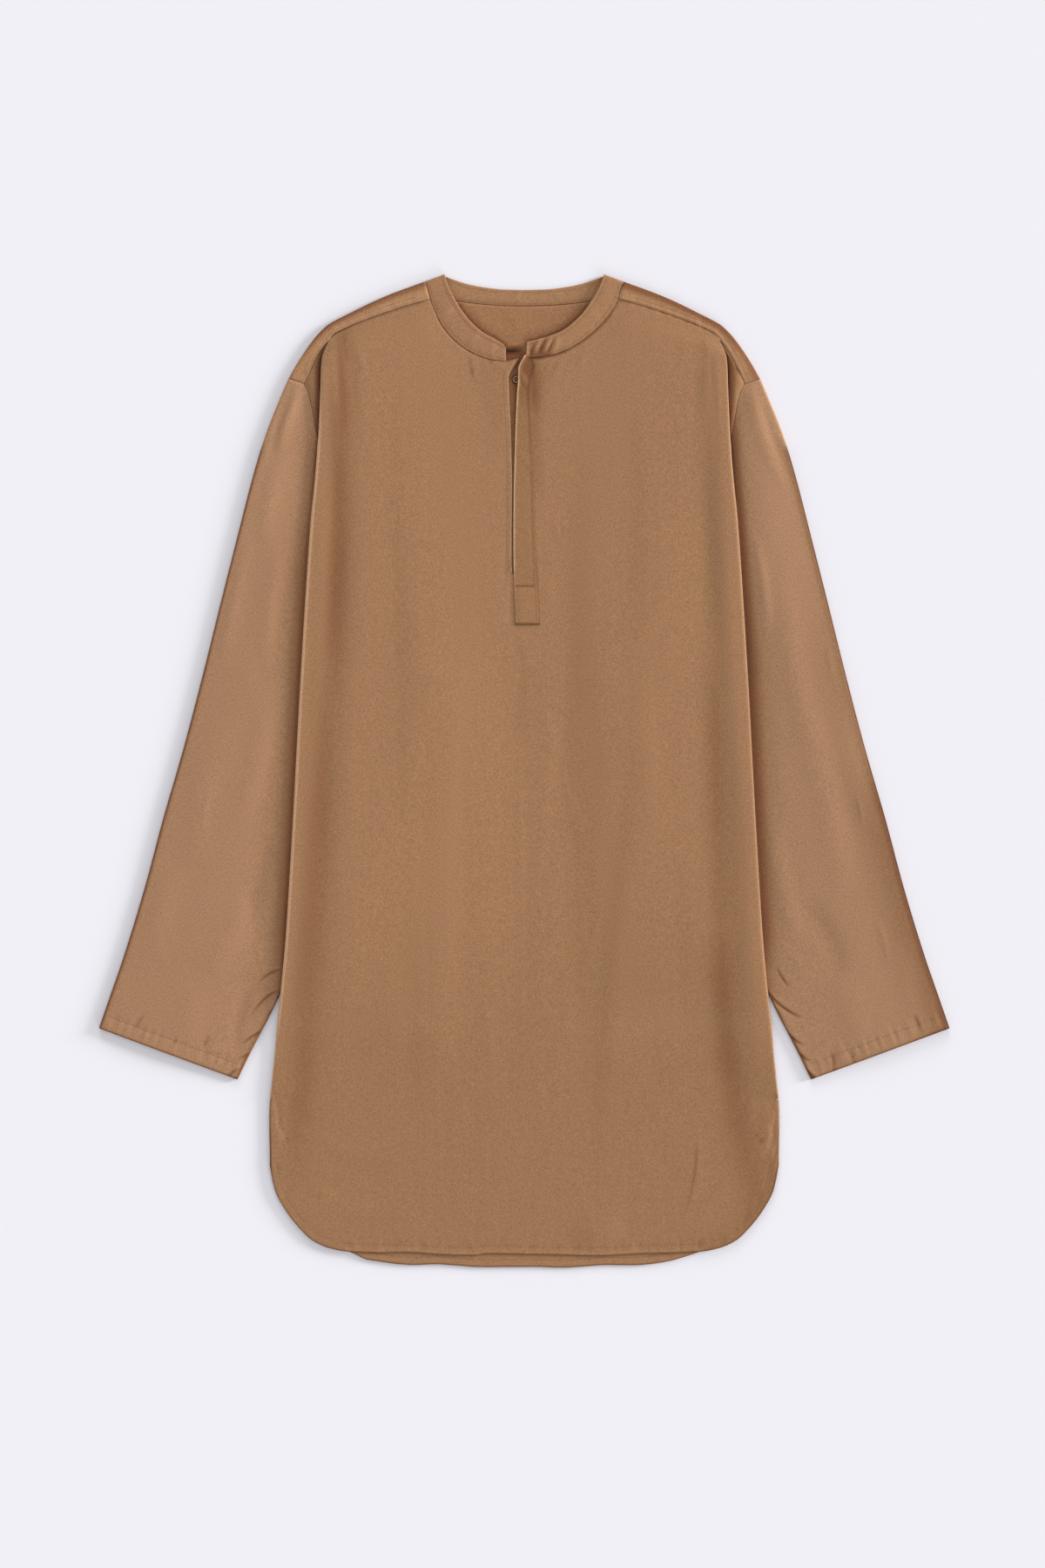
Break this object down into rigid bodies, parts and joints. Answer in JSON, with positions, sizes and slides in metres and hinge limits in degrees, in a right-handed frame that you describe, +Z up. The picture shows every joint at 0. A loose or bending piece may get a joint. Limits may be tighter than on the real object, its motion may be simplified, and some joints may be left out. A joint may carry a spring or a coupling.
{
  "type": "long shirt",
  "caption": "Collarless long-sleeved shirt with a stand band, half placket and rounded hem, laid flat on its back as one rigid body.",
  "frame": {"origin": "on the surface it lies on, at the middle of its outline seen from above", "axes": "+X to the wearer's left sleeve, +Y from the hem to the neck, +Z up from the surface through the back to the front"},
  "size_m": [0.8008, 0.9348, 0.0105],
  "materials": {
    "body_cloth": "matte fine crepe, camel brown",
    "back_cloth": "matte fine crepe, camel brown, a little darker",
    "yoke_cloth": "matte fine crepe, camel brown",
    "sleeve_cloth": "matte fine crepe, camel brown, a little lighter",
    "band_cloth": "matte fine crepe, faced and edge stitched",
    "placket_cloth": "matte fine crepe, folded double and edge stitched",
    "underlap_cloth": "matte fine crepe in the placket's shade",
    "button_horn": "satin brown, dished, four holes"
  },
  "bodies": {
    "root": {"front": "body_cloth", "back": "back_cloth", "yoke": "yoke_cloth", "sleeve_left": "sleeve_cloth", "sleeve_right": "sleeve_cloth", "collar_band": "band_cloth", "placket": "placket_cloth", "placket_underlap": "underlap_cloth", "button": "button_horn"}
  },
  "joints": []
}
